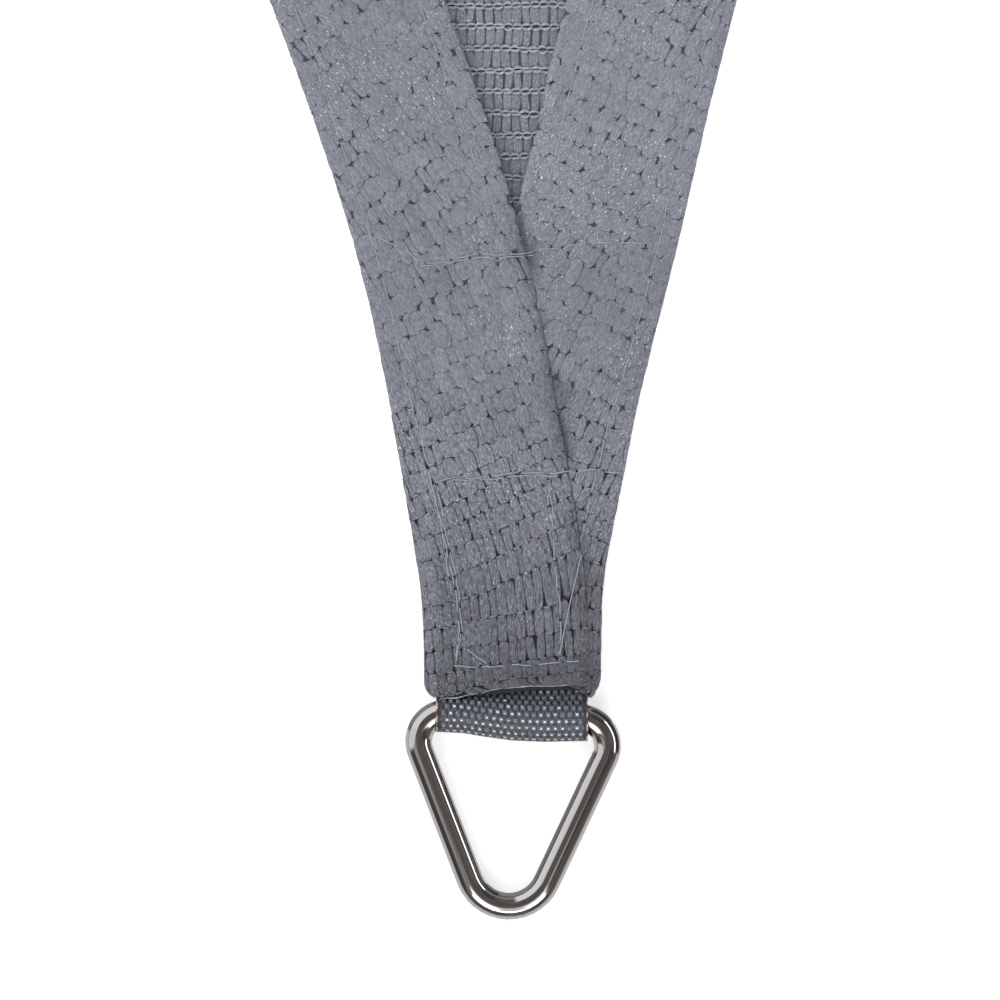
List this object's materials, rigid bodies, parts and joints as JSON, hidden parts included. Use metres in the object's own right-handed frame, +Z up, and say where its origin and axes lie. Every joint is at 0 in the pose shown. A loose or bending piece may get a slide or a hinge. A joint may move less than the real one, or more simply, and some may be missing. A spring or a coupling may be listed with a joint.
{
  "type": "triangular shade sail",
  "caption": "Flat three-cornered shade sail of knitted cloth with inward-curving hemmed sides and a webbing loop with a steel ring at each corner.",
  "frame": {"origin": "middle of the sail, on its underside", "axes": "+Z up, away from the surface the sail lies on; -Y towards the front corner; +X towards the right corner's side"},
  "size_m": [2.0802, 1.8062, 0.008],
  "materials": {
    "knitted_cloth": "slate grey knitted tape cloth, slightly shiny tapes",
    "webbing": "plain woven dark slate webbing",
    "ring_steel": "polished stainless steel wire"
  },
  "bodies": {
    "root": {"sail_cloth": "knitted_cloth", "webbing_front": "webbing", "webbing_right": "webbing", "webbing_left": "webbing", "ring_front": "ring_steel", "ring_right": "ring_steel", "ring_left": "ring_steel"}
  },
  "joints": []
}
